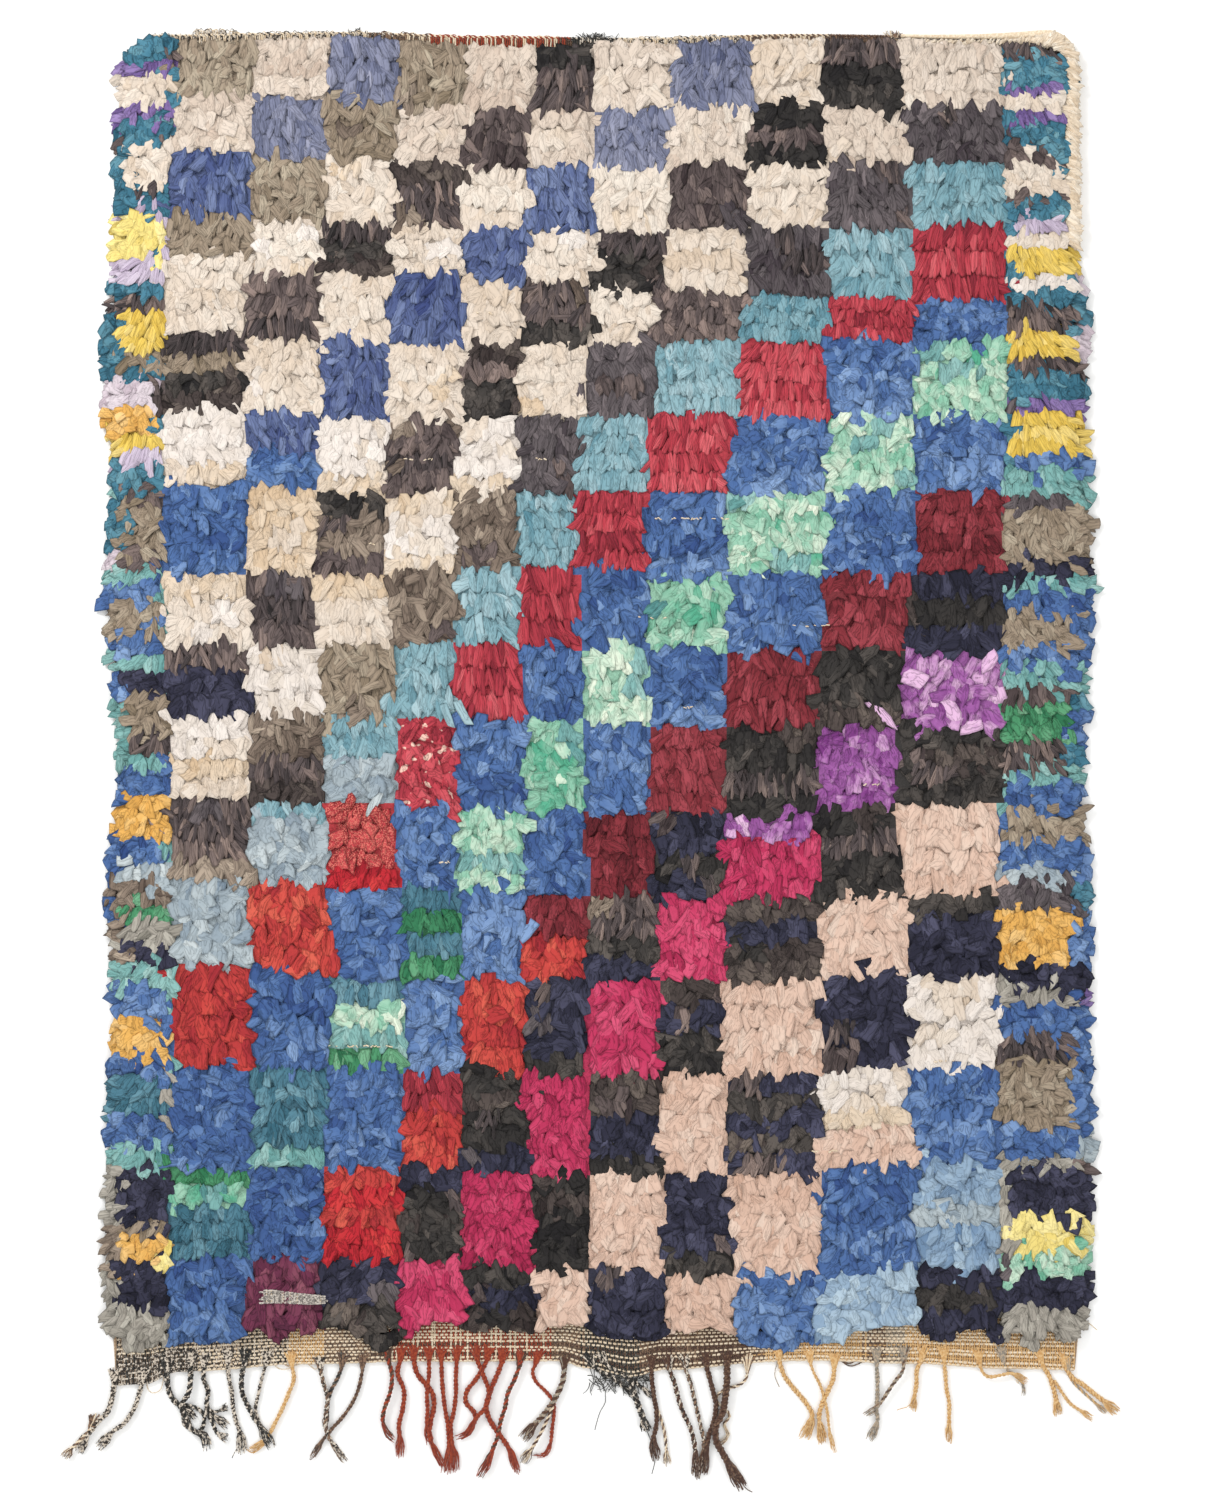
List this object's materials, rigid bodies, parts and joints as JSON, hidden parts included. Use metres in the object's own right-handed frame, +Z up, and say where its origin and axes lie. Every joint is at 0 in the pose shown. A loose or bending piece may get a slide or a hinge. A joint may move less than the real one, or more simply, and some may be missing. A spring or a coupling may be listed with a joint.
{
  "type": "boucherouite rug",
  "caption": "Hand-knotted rag-pile rug with diagonal coloured checks, a woven end band, knotted warp fringe and a rag-wrapped corner, lying flat on a floor.",
  "frame": {"origin": "on the underside of the ground cloth, at the middle of its length and width", "axes": "+X to the right across the rug, +Y along its length towards the twined heading, +Z up from the floor"},
  "size_m": [1.6453, 2.2925, 0.0269],
  "materials": {
    "woven_ground": "matte weft-faced weave",
    "rag_pile": "matte cut rag strips",
    "twined_cord": "matte twined yarn",
    "rag_wrap": "matte wrapped rag",
    "warp_yarn": "matte plied yarn"
  },
  "bodies": {
    "root": {"ground": "woven_ground", "pile": "rag_pile", "heading_cord": "twined_cord", "edge_wrap": "rag_wrap", "fringe": "warp_yarn"}
  },
  "joints": []
}
